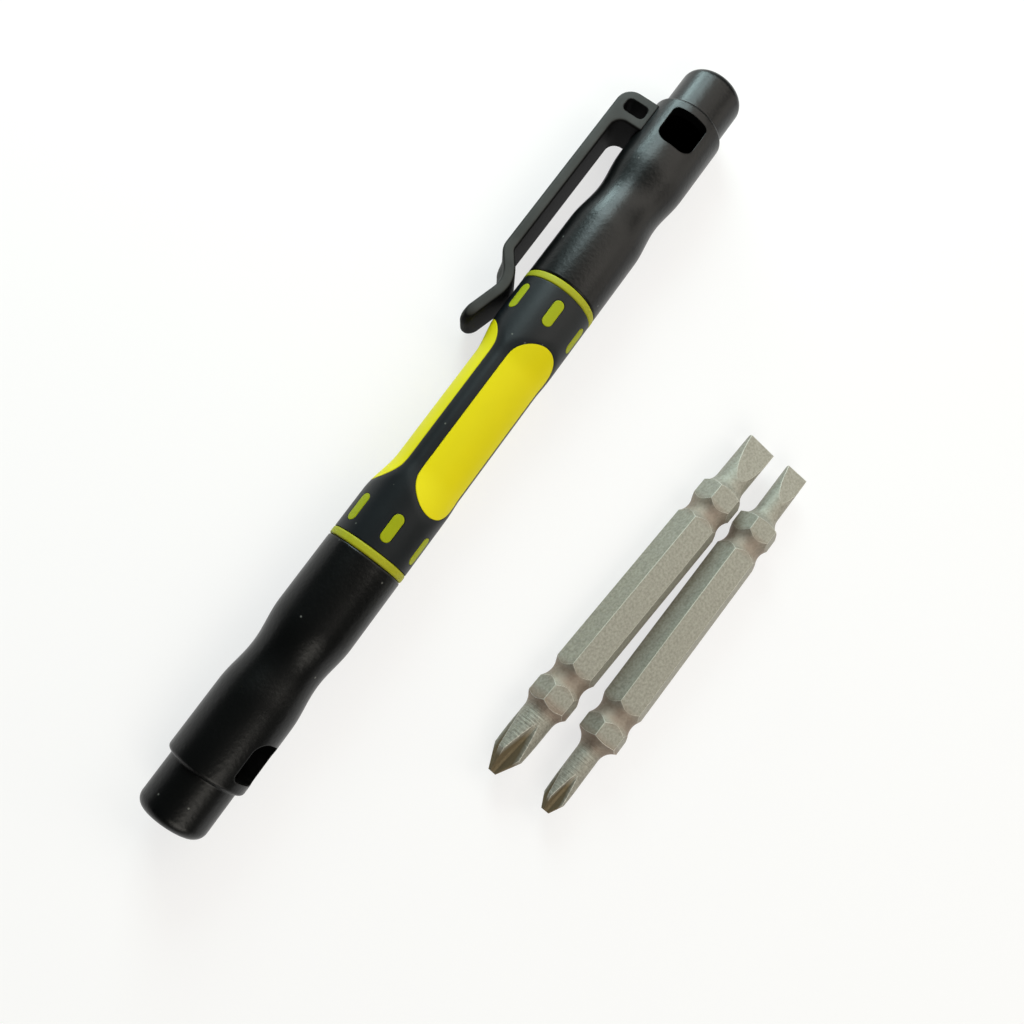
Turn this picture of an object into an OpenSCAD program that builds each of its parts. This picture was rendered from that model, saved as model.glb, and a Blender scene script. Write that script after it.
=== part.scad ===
// Pocket screwdriver: a pen-shaped handle with a two-colour grip, two pull-off caps,
// a pocket clip, and two loose double-ended bits that lie beside it on the table.
// The pen lies along X with its clip end at +X and rests on its cap rims and its clip.

/* [Grip] */
// Length of the grip between the two cap faces
grip_len = 48; // [42:0.5:56]
// Diameter over the grip's ribs
grip_d = 12; // [11.6:0.1:14]
// Diameter of the hard core under the soft skin
core_d = 9.8; // [9.4:0.1:10]
// Gap left between the core and the skin moulded round it
skin_gap = 0.04; // [0.02:0.01:0.08]
// Width of the coloured ring at each end of the grip
ring_w = 1.25; // [0.8:0.05:2]
// Height of the rings above the ribs
ring_rise = 0.04; // [0.02:0.01:0.1]

/* [Finger pads] */
// Turn of the first pad about the pen, from the clip
pad_turn = 136; // [0:1:180]
// Length of a pad
pad_len = 29.4; // [20:0.2:32]
// Width of a pad, measured straight across
pad_w = 8.2; // [5:0.1:8.4]
// Depth of the finger scoop below the ribs
scoop_depth = 0.93; // [0.6:0.05:1]
// Radius of a pad across the pen
scoop_r = 7.9; // [7:0.1:12]
// Length of the scoop's level floor
scoop_floor = 20.4; // [12:0.2:24]
// Length of the ramp at each end of the scoop
scoop_ramp = 5.2; // [3:0.1:7]

/* [Grip pips] */
// Number of pips in the band at each end of the grip
pip_count = 6; // [3:1:8]
// Length of a pip
pip_len = 4.4; // [2:0.1:5]
// Width of a pip
pip_w = 1.65; // [1:0.05:2.4]
// Distance from a cap face to the middle of the pips
pip_inset = 4.95; // [4.4:0.05:6]

/* [Bit sockets] */
// Distance across the flats of the hexagon bits, a quarter inch
hex_af = 6.35; // [5.5:0.05:6.5]
// Gap between a bit and each wall of its sleeve
sleeve_clear = 0.05; // [0.03:0.01:0.12]
// Wall of the steel socket sleeves
sleeve_wall = 0.5; // [0.3:0.05:0.6]
// Gap between a sleeve and each wall of its seat in the core
seat_gap = 0.02; // [0.01:0.01:0.05]
// Thickness of the magnet between the two sleeves
magnet_t = 1.2; // [0.8:0.1:3]

/* [Cap joint] */
// Diameter of the spigots that carry the caps
spigot_d = 9.6; // [9.4:0.1:10]
// Length of the spigots
spigot_len = 9; // [6:0.5:14]
// Gap all round between a spigot and its cap
spigot_clear = 0.05; // [0.02:0.01:0.1]
// Gap between a spigot's end and the step inside its cap
spigot_end_gap = 0.4; // [0.2:0.1:1]
// Number of keys that stop a cap turning
key_count = 3; // [2:1:4]
// Width of a key
key_w = 1.6; // [1:0.1:2.4]
// Height of a key above its spigot
key_rise = 0.35; // [0.2:0.05:0.5]
// Length of a key
key_len = 5; // [3:0.5:6]
// Gap round a key in its slot
key_clear = 0.08; // [0.04:0.01:0.15]

/* [Caps] */
// Diameter of a cap at its rim
rim_d = 12; // [11.8:0.1:14]
// Rounding of the rim's edge
rim_round = 0.35; // [0.1:0.05:0.6]
// Diameter of a cap at its shoulder
shoulder_d = 11.9; // [11.7:0.1:13]
// Rounding of the shoulder's edge
shoulder_round = 0.7; // [0.2:0.05:0.8]
// Diameter of a cap at its waist
waist_d = 10.7; // [10.2:0.1:11.4]
// Distance from a cap's closed end to the middle of its waist
waist_from_end = 25; // [22:0.5:27]
// Distance from the middle of the waist to where it runs out
waist_half = 6.2; // [4:0.1:7]
// Diameter of the stub at a cap's closed end
nub_d = 10.2; // [9.8:0.1:10.4]
// Length of the stub
nub_len = 7.8; // [5:0.1:8.6]
// Rounding of the stub's end
nub_round = 1.6; // [0.5:0.1:2]
// Diameter of the hole that takes the bit
bore_d = 8; // [7.8:0.1:8.4]
// Thickness of a cap's closed end
end_wall = 1; // [0.8:0.1:2]
// Free length left for a stored bit
bit_slack = 0.2; // [0.1:0.1:1]

/* [Cap windows] */
// Length of the sight window along the pen
window_len = 6.1; // [4:0.1:6.6]
// Width of the sight window
window_w = 6; // [3:0.1:6.4]
// Rounding of the window's corners
window_round = 1; // [0.3:0.1:1.4]
// Distance from a cap's closed end to its window
window_from_end = 9.5; // [9:0.1:11]
// Turn of the rear cap's window about the pen, from the clip
rear_window_turn = 97; // [85:1:275]
// Turn of the front cap's window about the pen, from the clip
front_window_turn = 167; // [0:1:359]

/* [Pocket clip] */
// Distance from the pen's axis to the outer face of the clip's arm
clip_reach = 10.8; // [10.2:0.1:13]
// Width of the clip
clip_w = 7.2; // [5:0.1:8]
// Thickness of the clip's arm
clip_t = 1.8; // [1.2:0.1:2.2]
// Distance from the cap's closed end to the clip's bridge
bridge_from_end = 9.6; // [9:0.1:11]
// Length of the bridge along the pen
bridge_len = 5.3; // [4.8:0.1:7]
// Rounding of the bridge's outer corner
bridge_round = 2.6; // [1:0.1:3]
// Radius of the hollow corner between bridge and arm
arm_fillet = 1.8; // [0.8:0.1:2.4]
// Distance from the cap's closed end to the bend in the arm
arm_end = 42.2; // [36:0.2:44]
// Radius of that bend, at the middle of the clip's thickness
bend_r = 2; // [1.2:0.1:3]
// Turn of the slope after the bend, towards the grip
slope_turn = 38; // [30:1:45]
// Radius of the knee where the slope meets the lifted tip
knee_r = 3.4; // [2:0.1:4]
// Turn of the lifted tip, away from the grip
tip_turn = 16; // [8:1:20]
// Length of the lifted tip, from the corner of the knee
tip_len = 8.5; // [6:0.1:9]
// Rounding of the tip's corners, seen from outside
tip_round = 2.4; // [1:0.1:3]
// Gap between the clip and the grip where they come closest
clip_gap = 0.25; // [0.15:0.05:0.6]
// Length of the cord hole through the bridge, along the pen
cord_hole_len = 2.4; // [1.7:0.1:2.8]
// Height of the cord hole
cord_hole_h = 3.7; // [2:0.1:3.8]
// Rounding of the cord hole's corners
cord_hole_round = 0.8; // [0.3:0.05:0.8]
// Distance from the clip's outer face to the cord hole
cord_hole_top = 1.55; // [1.3:0.05:1.6]
// Depth of the clip's foot in the cap's wall
foot_depth = 0.9; // [0.5:0.05:1.1]
// Margin between the foot and the bridge's sides
foot_margin = 0.8; // [0.5:0.1:1.2]
// Gap round the foot in its pocket
foot_gap = 0.03; // [0.01:0.01:0.06]

/* [Bits] */
// Length of a bit
bit_len = 65; // [60:0.5:72]
// Length of a bit's cross-point end, from its point to its collar
point_len = 12.9; // [12:0.1:14]
// Length of the collars behind the two ends
collar_len = 2.2; // [1.8:0.1:4]
// Length of the waists beside the collars
neck_len = 3.9; // [2.4:0.1:4.4]
// Diameter of the waists
neck_d = 5.8; // [4.8:0.1:6]
// Length of a bit's blade end, from its edge to its collar
blade_len = 10.9; // [10.4:0.1:14]
// Diameter of the large bit's cross-point shank
large_point_d = 5.2; // [4:0.1:5.6]
// Length of the flutes on the large bit
large_flute_len = 9.3; // [7:0.1:9.6]
// Width of the large bit's blade
large_blade_w = 5; // [4:0.1:5.6]
// Thickness of the large bit's blade at its edge
large_blade_t = 0.9; // [0.6:0.05:1.2]
// Length of the ground faces on the large bit's blade
large_grind_len = 7.7; // [6:0.1:8.1]
// Diameter of the small bit's cross-point shank
small_point_d = 3.7; // [3:0.1:4.4]
// Length of the flutes on the small bit
small_flute_len = 6.9; // [5:0.1:9]
// Width of the small bit's blade
small_blade_w = 3.9; // [3:0.1:4.6]
// Thickness of the small bit's blade at its edge
small_blade_t = 0.7; // [0.5:0.05:1]
// Length of the ground faces on the small bit's blade
small_grind_len = 6; // [5:0.1:6.2]
// Diameter of the flat at a cross point
point_flat_d = 1.4; // [0.8:0.1:1.8]
// Angle of a cross point's cone to the bit's axis
point_angle = 28; // [24:1:32]
// Distance from the bit's axis to the floor of a flute at the point
flute_root = 0.4; // [0.35:0.05:0.5]
// Width of a flute's floor
flute_floor = 0.4; // [0.2:0.05:0.45]
// Angle of a flute's wall to its middle
flute_angle = 56; // [46:1:60]
// Radius of the blend from an end into its collar
collar_blend = 2.6; // [1.5:0.1:3]

/* [Layout on the table] */
// Distance from the pen's axis to the middle of the large bit
bit_row = 36.2; // [24:0.2:60]
// How far the bits' middles lie from the pen's middle, towards its front
bit_shift = 5.2; // [0:0.2:20]
// Turn of the large bit away from the pen's direction
large_turn = 5.5; // [3:0.1:8]
// Turn of the small bit away from the pen's direction
small_turn = 3.3; // [0:0.1:3.4]
// Least gap between the two bits
bit_gap = 0.4; // [0.3:0.1:3]

/* [Hidden] */
$fn = 96;
arc_steps = 8;
pad_count = 3;
waist_steps = 24;
// Spare length that carries a cut past the face that it opens
over = 1;
// Spare length that keeps the rounding of the clip's corners clear of its tip
tip_spare = 0.1;

// Radii
grip_r = grip_d / 2;
core_r = core_d / 2;
ring_r = grip_r + ring_rise;
spigot_r = spigot_d / 2;
rim_r = rim_d / 2;
shoulder_r = shoulder_d / 2;
nub_r = nub_d / 2;
bore_r = bore_d / 2;
neck_r = neck_d / 2;

// Hexagons, each by its distance across the flats
sleeve_af = hex_af + 2 * sleeve_clear;
sleeve_outer_af = sleeve_af + 2 * sleeve_wall;
seat_af = sleeve_outer_af + 2 * seat_gap;
magnet_d = sleeve_outer_af;
hex_corner = hex_af / sqrt(3);

// A cap is as long as the bit that it covers
grip_half = grip_len / 2;
cap_len = magnet_t / 2 + bit_len + bit_slack + end_wall - grip_half;
pen_half = grip_half + cap_len;
spigot_end = grip_half + spigot_len;
window_x = pen_half - window_from_end - window_len / 2;
pip_x = grip_half - pip_inset;
skin_half = grip_half - ring_w;

// The pen lies on the widest of its rims, and rolls until its clip meets the table
rest_r = max(rim_r, ring_r);
clip_half_w = clip_w / 2;
clip_dip = asin(rest_r / norm([clip_reach, clip_half_w])) - atan2(clip_half_w, clip_reach);
clip_turn = -(90 + clip_dip);

// Corners of the clip's middle line. The knee's round lifts it from its corner, so the corner lies lower
clip_half_t = clip_t / 2;
bridge_rear = pen_half - bridge_from_end;
bridge_front = bridge_rear - bridge_len;
knee_lift = knee_r * (cos((slope_turn - tip_turn) / 2) / cos((slope_turn + tip_turn) / 2) - 1);
knee_reach = grip_r + clip_gap + clip_half_t - knee_lift;
clip_bend = [pen_half - arm_end, clip_reach - clip_half_t];
clip_knee = [clip_bend.x - (clip_bend.y - knee_reach) / tan(slope_turn), knee_reach];
clip_tip = clip_knee + tip_len * [-cos(tip_turn), sin(tip_turn)];

// Bits, measured from the cross point
neck_start = point_len + collar_len;
blade_start = bit_len - blade_len;
shaft_end = blade_start - collar_len - neck_len;
collar_reach = blade_start - bit_len / 2;
bit_spread = 2 * hex_corner + bit_gap + collar_reach * (tan(large_turn) - tan(small_turn));

// The origin is under the middle of everything that lies on the table
clip_side = clip_reach * cos(clip_dip) + clip_half_w * sin(clip_dip);
bit_side = bit_row + bit_spread + hex_corner * cos(small_turn) + collar_reach * sin(small_turn);
pen_y = (bit_side - clip_side) / 2;

function arc(middle, r, from, to) =
    [for (i = [0:arc_steps]) middle + r * [cos(from + (to - from) * i / arc_steps),
                                           sin(from + (to - from) * i / arc_steps)]];

function reversed(points) = [for (i = [len(points) - 1:-1:0]) points[i]];

// Round bend of the clip at a corner of its middle line, by the headings before and after it
// and by how far the drawn face lies to the right of that line
function bend_arc(corner, r, from, to, right) =
    let (side = sign(to - from),
         aim = (from + to) / 2 + side * 90,
         middle = corner + r / cos((to - from) / 2) * [cos(aim), sin(aim)])
    arc(middle, r + side * right, from - side * 90, to - side * 90);

// Moves the pen's own frame, with its clip towards +Z, to where the pen lies
module lay_pen()
    translate([0, pen_y, rest_r])
        rotate([clip_turn, 0, 0])
            children();

// Turns a shape that stands along Z to lie along X
module along_x(x = 0)
    translate([x, 0, 0])
        rotate([0, 90, 0])
            children();

module at_both_ends() {
    children();
    mirror([1, 0, 0])
        children();
}

// Hexagonal rod along X with level flats when the pen lies on the table
module hex_rod(af, from, to)
    rotate([-clip_turn, 0, 0])
        along_x(from)
            rotate([0, 0, 30])
                cylinder(h = to - from, d = af / cos(30), $fn = 6);

module stadium(length, width) {
    straight = length - width;
    square([straight, width], center = true);
    for (side = [-1, 1])
        translate([side * straight / 2, 0])
            circle(d = width);
}

module rounded_rectangle(length, width, r) {
    square([length, width - 2 * r], center = true);
    square([length - 2 * r, width], center = true);
    for (sx = [-1, 1], sy = [-1, 1])
        translate([sx * (length / 2 - r), sy * (width / 2 - r)])
            circle(r = r);
}

// Cut that leaves one finger scoop: a bar off the pen's axis, with a level floor and a ramp at each end
module scoop_cut() {
    pad_r = grip_r - scoop_depth;
    off = scoop_r - pad_r;
    floor_half = scoop_floor / 2;
    end_r = scoop_r + scoop_depth + over;
    end_half = floor_half + scoop_ramp * (scoop_depth + over) / scoop_depth;
    difference() {
        translate([-end_half, -grip_d, 0])
            cube([2 * end_half, 2 * grip_d, grip_d]);
        translate([0, 0, -off])
            along_x()
                rotate_extrude()
                    polygon([[0, -end_half - over], [end_r, -end_half - over], [end_r, -end_half],
                             [scoop_r, -floor_half], [scoop_r, floor_half], [end_r, end_half],
                             [end_r, end_half + over], [0, end_half + over]]);
    }
}

// Outside of the grip, with its scoops, as far as a distance from its middle
module grip_envelope(half) {
    difference() {
        along_x(-half)
            cylinder(h = 2 * half, r = grip_r);
        for (i = [0:pad_count - 1])
            rotate([pad_turn + i * 360 / pad_count, 0, 0])
                scoop_cut();
    }
}

// Prisms that stand out from the core where pads and pips break through the skin
module coloured_prisms(grow) {
    pad_base = (pad_w / 2 + 2 * grow) / tan(180 / pad_count);
    for (i = [0:pad_count - 1])
        rotate([pad_turn + i * 360 / pad_count, 0, 0])
            translate([0, 0, pad_base])
                linear_extrude(grip_d)
                    stadium(pad_len + 2 * grow, pad_w + 2 * grow);
    for (end = [-1, 1], i = [0:pip_count - 1])
        rotate([pad_turn + (i + 0.5) * 360 / pip_count, 0, 0])
            translate([end * pip_x, 0, core_r - over])
                linear_extrude(grip_d)
                    stadium(pip_len + 2 * grow, pip_w + 2 * grow);
}

module spigot() {
    along_x(grip_half)
        cylinder(h = spigot_len, r = spigot_r);
    for (i = [0:key_count - 1])
        rotate([i * 360 / key_count, 0, 0])
            translate([grip_half, -key_w / 2, 0])
                cube([key_len, key_w, spigot_r + key_rise]);
}

module grip_core() {
    color("yellowgreen")
        lay_pen()
            difference() {
                union() {
                    along_x(-grip_half)
                        cylinder(h = grip_len, r = core_r);
                    at_both_ends() {
                        along_x(skin_half)
                            cylinder(h = ring_w, r = ring_r);
                        spigot();
                    }
                    intersection() {
                        grip_envelope(skin_half);
                        coloured_prisms(0);
                    }
                }
                hex_rod(seat_af, -spigot_end - over, spigot_end + over);
            }
}

module grip_skin() {
    color("darkslategray")
        lay_pen()
            difference() {
                grip_envelope(skin_half - skin_gap);
                along_x(-grip_half)
                    cylinder(h = grip_len, r = core_r + skin_gap);
                coloured_prisms(skin_gap);
            }
}

module bit_sleeve() {
    difference() {
        hex_rod(sleeve_outer_af, magnet_t / 2, spigot_end);
        hex_rod(sleeve_af, magnet_t / 2 - over, spigot_end + over);
    }
}

module front_bit_sleeve() {
    color("silver")
        lay_pen()
            mirror([1, 0, 0])
                bit_sleeve();
}

module rear_bit_sleeve() {
    color("silver")
        lay_pen()
            bit_sleeve();
}

module bit_magnet() {
    color("dimgray")
        lay_pen()
            along_x(-magnet_t / 2)
                cylinder(h = magnet_t, d = magnet_d);
}

// Half section of a cap, by radius and distance from its rim
module cap_section() {
    mouth_r = spigot_r + spigot_clear;
    step = spigot_len + spigot_end_gap;
    shoulder_z = cap_len - nub_len;
    waist_z = cap_len - waist_from_end;
    waist_depth = (rim_r + shoulder_r - waist_d) / 2;
    blend = [for (i = [0:waist_steps]) i / waist_steps];
    waist = [for (t = blend) [rim_r + (shoulder_r - rim_r) * t - waist_depth * (1 - cos(360 * t)) / 2,
                              waist_z + waist_half * (2 * t - 1)]];
    polygon(concat(
        [[mouth_r, 0]],
        arc([rim_r - rim_round, rim_round], rim_round, -90, 0),
        waist,
        arc([shoulder_r - shoulder_round, shoulder_z - shoulder_round], shoulder_round, 0, 90),
        [[nub_r, shoulder_z]],
        arc([nub_r - nub_round, cap_len - nub_round], nub_round, 0, 90),
        [[0, cap_len], [0, cap_len - end_wall], [bore_r, cap_len - end_wall], [bore_r, step],
         [mouth_r, step]]));
}

// One cap at the clip end of the pen, with its sight window
module cap_shell(window_turn) {
    slot_w = key_w + 2 * key_clear;
    difference() {
        along_x(grip_half)
            rotate_extrude()
                cap_section();
        rotate([window_turn, 0, 0])
            translate([window_x, 0, 0])
                linear_extrude(rim_d)
                    rounded_rectangle(window_len, window_w, window_round);
        for (i = [0:key_count - 1])
            rotate([i * 360 / key_count, 0, 0])
                translate([grip_half - over, -slot_w / 2, 0])
                    cube([key_len + key_clear + over, slot_w, spigot_r + key_rise + key_clear]);
    }
}

module front_cap() {
    color("black")
        lay_pen()
            mirror([1, 0, 0])
                cap_shell(front_window_turn);
}

module rear_cap() {
    color("black")
        lay_pen()
            difference() {
                cap_shell(rear_window_turn);
                clip_foot(foot_gap);
            }
}

// Block under the bridge that sits in the wall of the rear cap
module clip_foot(grow) {
    length = bridge_len - 2 * foot_margin + 2 * grow;
    width = clip_w - 2 * foot_margin + 2 * grow;
    middle = bridge_rear - bridge_len / 2;
    bottom = shoulder_r - foot_depth - grow;
    translate([middle - length / 2, -width / 2, bottom])
        cube([length, width, shoulder_r + over - bottom]);
}

// Side view of the clip: distance along the pen, and distance from its axis
module clip_outline() {
    arm_inner = clip_reach - clip_t;
    slope_way = 180 + slope_turn;
    tip_way = 180 - tip_turn;
    polygon(concat(
        [[bridge_rear, 0]],
        arc([bridge_rear - bridge_round, clip_reach - bridge_round], bridge_round, 0, 90),
        bend_arc(clip_bend, bend_r, 180, slope_way, clip_half_t),
        bend_arc(clip_knee, knee_r, slope_way, tip_way, clip_half_t),
        arc(clip_tip, clip_half_t, tip_way - 90, tip_way + 90),
        reversed(bend_arc(clip_knee, knee_r, slope_way, tip_way, -clip_half_t)),
        reversed(bend_arc(clip_bend, bend_r, 180, slope_way, -clip_half_t)),
        arc([bridge_front - arm_fillet, arm_inner - arm_fillet], arm_fillet, 90, 0),
        [[bridge_front, 0]]));
}

// Clip seen from outside, with rounded corners at its tip and spare length past its bridge
module clip_plan() {
    tip_end = clip_tip.x - clip_half_t - tip_spare;
    length = bridge_rear + tip_round + over - tip_end;
    translate([tip_end + length / 2, 0])
        rounded_rectangle(length, clip_w, tip_round);
}

module pocket_clip() {
    hole_x = bridge_rear - bridge_len / 2;
    hole_z = clip_reach - cord_hole_top - cord_hole_h / 2;
    color("dimgray")
        lay_pen()
            difference() {
                union() {
                    difference() {
                        intersection() {
                            rotate([90, 0, 0])
                                linear_extrude(clip_w + 2 * over, center = true)
                                    clip_outline();
                            linear_extrude(clip_reach + over)
                                clip_plan();
                        }
                        along_x()
                            cylinder(h = pen_half, r = shoulder_r + foot_gap);
                    }
                    clip_foot(0);
                }
                translate([hole_x, 0, hole_z])
                    rotate([90, 90, 0])
                        linear_extrude(clip_w + over, center = true)
                            rounded_rectangle(cord_hole_h, cord_hole_len, cord_hole_round);
            }
}

// Turned outline of a bit by radius and distance from its cross point
module bit_turning(point_d, blade_w) {
    point_r = point_d / 2;
    cone_len = (point_r - point_flat_d / 2) / tan(point_angle);
    wide = hex_corner + over;
    difference() {
        polygon([[0, 0], [point_flat_d / 2, 0], [point_r, cone_len], [point_r, point_len - collar_blend],
                 [wide, point_len - collar_blend], [wide, blade_start + collar_blend],
                 [blade_w / 2, blade_start + collar_blend], [blade_w / 2, bit_len], [0, bit_len]]);
        translate([point_r + collar_blend, point_len - collar_blend])
            circle(r = collar_blend);
        translate([blade_w / 2 + collar_blend, blade_start + collar_blend])
            circle(r = collar_blend);
        for (z = [neck_start, shaft_end])
            neck_cut(z);
    }
}

// Round groove that leaves a waist between two lengths of full hexagon
module neck_cut(z) {
    half = neck_len / 2;
    depth = hex_corner - neck_r;
    r = (half * half + depth * depth) / (2 * depth);
    translate([neck_r + r, z + half])
        circle(r = r);
}

// One double-ended bit along Z, cross point down
module bit_body(point_d, flute_len, blade_w, blade_t, grind_len) {
    point_r = point_d / 2;
    flute_slope = atan2(point_r - flute_root, flute_len);
    flute_half = flute_floor / 2;
    flute_side = flute_half + point_r * tan(flute_angle);
    grind_slope = atan2((blade_w - blade_t) / 2, grind_len);
    difference() {
        intersection() {
            rotate([0, 0, 30])
                cylinder(h = bit_len, d = hex_af / cos(30), $fn = 6);
            rotate_extrude()
                bit_turning(point_d, blade_w);
        }
        for (i = [0:3])
            rotate([0, 0, i * 90])
                translate([flute_root, 0, 0])
                    rotate([0, flute_slope, 0])
                        translate([0, 0, -flute_len])
                            linear_extrude(2 * flute_len + over)
                                polygon([[0, flute_half], [point_r, flute_side], [2 * point_r, flute_side],
                                         [2 * point_r, -flute_side], [point_r, -flute_side],
                                         [0, -flute_half]]);
        for (side = [0, 180])
            rotate([0, 0, side])
                translate([blade_t / 2, -hex_af, bit_len])
                    rotate([0, -grind_slope, 0])
                        translate([0, 0, -2 * blade_len])
                            cube([hex_af, 2 * hex_af, 3 * blade_len]);
    }
}

// Lays a bit on one flat, turned from the pen's direction
module lay_bit(row, turn)
    translate([-bit_shift, pen_y - row, hex_af / 2])
        rotate([0, 0, -turn])
            along_x(-bit_len / 2)
                children();

module large_bit() {
    color("gray")
        lay_bit(bit_row, large_turn)
            bit_body(large_point_d, large_flute_len, large_blade_w, large_blade_t, large_grind_len);
}

module small_bit() {
    color("gray")
        lay_bit(bit_row + bit_spread, small_turn)
            bit_body(small_point_d, small_flute_len, small_blade_w, small_blade_t, small_grind_len);
}

grip_core();
grip_skin();
front_bit_sleeve();
rear_bit_sleeve();
bit_magnet();
front_cap();
rear_cap();
pocket_clip();
large_bit();
small_bit();
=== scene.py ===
# %% [markdown]
# # Dressing a pocket screwdriver
# The tool is a pen: a soft two-colour grip in the middle, a black pull-off cap at each end, and a clip.
# Two double-ended bits lie beside it. The frame holds every piece at its true size, so this lesson only
# models the moulded pieces more finely, gives each one its finish, and lights the table.

# %% Load the frame
import math

import bpy
from mathutils import Matrix, Quaternion, Vector


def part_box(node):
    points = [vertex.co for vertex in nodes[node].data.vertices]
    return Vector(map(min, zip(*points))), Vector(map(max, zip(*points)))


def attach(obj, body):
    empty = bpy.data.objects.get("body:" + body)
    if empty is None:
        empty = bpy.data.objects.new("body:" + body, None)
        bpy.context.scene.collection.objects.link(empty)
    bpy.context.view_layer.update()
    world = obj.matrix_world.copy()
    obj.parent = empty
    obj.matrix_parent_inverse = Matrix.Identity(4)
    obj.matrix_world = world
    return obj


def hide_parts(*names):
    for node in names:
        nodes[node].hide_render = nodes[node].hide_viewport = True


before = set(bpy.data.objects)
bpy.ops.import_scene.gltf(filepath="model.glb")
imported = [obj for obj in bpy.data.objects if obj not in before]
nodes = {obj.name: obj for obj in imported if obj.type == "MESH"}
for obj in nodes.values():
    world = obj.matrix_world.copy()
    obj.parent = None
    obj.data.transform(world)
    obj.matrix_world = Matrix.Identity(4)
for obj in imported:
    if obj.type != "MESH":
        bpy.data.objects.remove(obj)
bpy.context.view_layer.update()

# %% [markdown]
# ## The pen's own axes
# A turned piece is easiest to draw round its own axis. So each moulding is modelled in millimetres, with
# the pen along X and its clip towards +Z, and one matrix then shrinks it to metres and lays it down.
# The frame gives the axis. The roll comes from the clip, whose edge rests on the table: how far it reaches
# from the axis and how wide it is, both in millimetres, settle the angle.

# %% The pen's place
MM = 0.001
CLIP_REACH = 10.8
CLIP_W = 7.2
front_low, front_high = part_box("front_cap")
rear_low, rear_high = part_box("rear_cap")
axis = Vector((0, (front_low.y + front_high.y) / 2, (front_low.z + front_high.z) / 2))
rim_r = (front_high.y - front_low.y) / 2 / MM
grip_half = rear_low.x / MM
cap_len = (rear_high.x - rear_low.x) / MM
pen_half = grip_half + cap_len
rest_r = axis.z / MM
clip_dip = math.asin(rest_r / math.hypot(CLIP_REACH, CLIP_W / 2)) - math.atan2(CLIP_W / 2, CLIP_REACH)
clip_turn = -(math.pi / 2 + clip_dip)
LAY_PEN = Matrix.Translation(axis) @ Matrix.Rotation(clip_turn, 4, "X") @ Matrix.Diagonal((MM, MM, MM, 1))
print("pen half length", round(pen_half, 2), "mm, clip dips", round(math.degrees(clip_dip), 1), "degrees")

# %% [markdown]
# ## Drawing, turning and copying
# The caps and the core are turned: a line is drawn vertex by vertex and spun round the pen's axis, as a
# mould for them is turned on a lathe. What repeats is modelled once, copied and turned into its place.


# %% Drawing helpers
WELD = 0.001


def start():
    """Leaves edit mode and deselects everything, before the next operator."""
    if bpy.context.object and bpy.context.object.mode == "EDIT":
        bpy.ops.object.mode_set(mode="OBJECT")
    bpy.ops.object.select_all(action="DESELECT")


def only(obj):
    """Selects one object and makes it the active one."""
    start()
    obj.select_set(True)
    bpy.context.view_layer.objects.active = obj


def draw_line(points):
    """A chain of edges through the points, left in edit mode."""
    start()
    bpy.ops.mesh.primitive_plane_add(size=1)
    bpy.ops.object.mode_set(mode="EDIT")
    bpy.ops.mesh.select_mode(type="VERT")
    bpy.ops.mesh.select_all(action="SELECT")
    bpy.ops.mesh.merge(type="CENTER")
    bpy.ops.transform.translate(value=points[0])
    for here, there in zip(points, points[1:]):
        step = Vector(there) - Vector(here)
        bpy.ops.mesh.extrude_vertices_move(TRANSFORM_OT_translate={"value": step})
    bpy.ops.mesh.select_all(action="SELECT")
    bpy.ops.mesh.remove_doubles(threshold=WELD)
    return bpy.context.object


def turned(outline, steps=128):
    """Spins an outline of (place along the pen, radius) round the pen's axis."""
    obj = draw_line([(x, 0, r) for x, r in outline])
    bpy.ops.mesh.spin(steps=steps, angle=math.tau, center=(0, 0, 0), axis=(1, 0, 0))
    bpy.ops.mesh.select_all(action="SELECT")
    bpy.ops.mesh.remove_doubles(threshold=WELD)
    bpy.ops.mesh.normals_make_consistent(inside=False)
    bpy.ops.object.mode_set(mode="OBJECT")
    return obj


def arc(x, r, radius, first, last, steps=8):
    """Points of a round corner about (x, r), between two angles in degrees."""
    turns = [math.radians(first + (last - first) * i / steps) for i in range(steps + 1)]
    return [(x + radius * math.cos(t), r + radius * math.sin(t)) for t in turns]


def copy_of(obj, shift=0, degrees=0):
    """A copy with its own mesh, moved along the pen and turned about it."""
    twin = obj.copy()
    twin.data = obj.data.copy()
    bpy.context.collection.objects.link(twin)
    only(twin)
    twin.location.x += shift
    twin.rotation_euler.x += math.radians(degrees)
    bpy.ops.object.transform_apply(location=True, rotation=True, scale=True)
    return twin


print("points closer than", WELD, "mm become one")

# %% [markdown]
# ## Cutting and joining
# Openings are cut with another solid, as the core pins of a mould leave them. A window or a cord hole is a
# block with four rounded edges. A stadium, the outline of pads and pips, is a cylinder whose two halves
# are pulled apart.


# %% Cutting helpers
STADIUM_SIDES = 48
SMOOTH_BELOW = math.radians(30)


def select_vertices(obj, wanted):
    """Selects the vertices whose place passes a test, and stays in edit mode."""
    only(obj)
    bpy.ops.object.mode_set(mode="EDIT")
    bpy.ops.mesh.select_mode(type="VERT")
    bpy.ops.mesh.select_all(action="DESELECT")
    bpy.ops.object.mode_set(mode="OBJECT")
    for vertex in obj.data.vertices:
        vertex.select = wanted(vertex.co)
    bpy.ops.object.mode_set(mode="EDIT")


def block(size, middle):
    """A plain block to cut with, or to join on."""
    start()
    bpy.ops.mesh.primitive_cube_add(size=1, location=middle, scale=size)
    obj = bpy.context.object
    bpy.ops.object.transform_apply(location=True, rotation=True, scale=True)
    return obj


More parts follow.
